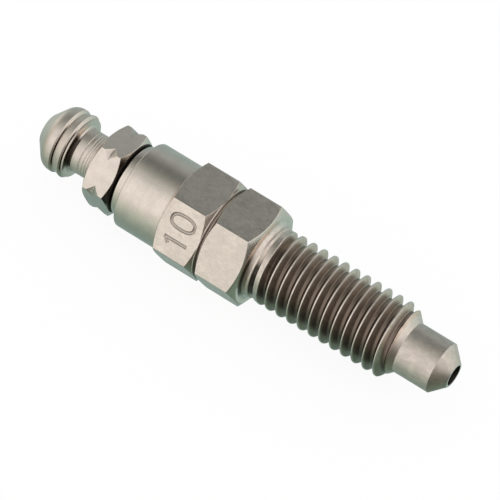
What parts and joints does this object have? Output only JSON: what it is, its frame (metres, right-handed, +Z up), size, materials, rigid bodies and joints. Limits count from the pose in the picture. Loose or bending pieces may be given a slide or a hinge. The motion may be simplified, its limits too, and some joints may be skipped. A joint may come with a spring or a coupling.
{
  "type": "bleeder screw",
  "caption": "Bleeder screw with a coned tip on a threaded stud, a hexagon body with a sleeve, and a screw-in hose nipple over a sprung ball valve.",
  "frame": {"origin": "on the screw's axis, in the plane where the front hexagon meets the stud", "axes": "+X along the axis towards the sealing tip, +Z up, square to the hexagon flats that the screw lies on"},
  "size_m": [0.048, 0.0114, 0.01],
  "materials": {
    "stainless": "turned and brushed stainless steel",
    "spring_steel": "drawn stainless wire",
    "ball_steel": "polished",
    "seal_rubber": "matt black moulded rubber"
  },
  "bodies": {
    "valve_body": {"threaded_body": "stainless", "valve_housing": "stainless", "body_seal": "seal_rubber", "seat_bush": "stainless", "check_spring": "spring_steel"},
    "seal_carrier": {"shank_seal": "seal_rubber"},
    "nipple": {"bleed_nipple": "stainless", "stop_clip": "spring_steel"},
    "ball": {"check_ball": "ball_steel"}
  },
  "joints": [
    {"name": "nipple_lift", "type": "slide", "parent": "valve_body", "child": "seal_carrier", "axis": [-1, 0, 0], "range_m": [0, 0.0009375]},
    {"name": "nipple_turn", "type": "hinge", "parent": "seal_carrier", "child": "nipple", "pos_m": [-0.018, 0, 0], "axis": [-1, 0, 0], "range_deg": [0, 450]},
    {"name": "ball_lift", "type": "slide", "parent": "valve_body", "child": "ball", "axis": [-1, 0, 0], "range_m": [0, 0.001], "stiffness_N_per_m": 210, "springref_m": -0.0004, "deforming": ["check_spring"]}
  ],
  "couplings": [
    {"joint": "nipple_turn", "follows": "nipple_lift", "rad_per_m": 8377.6}
  ]
}
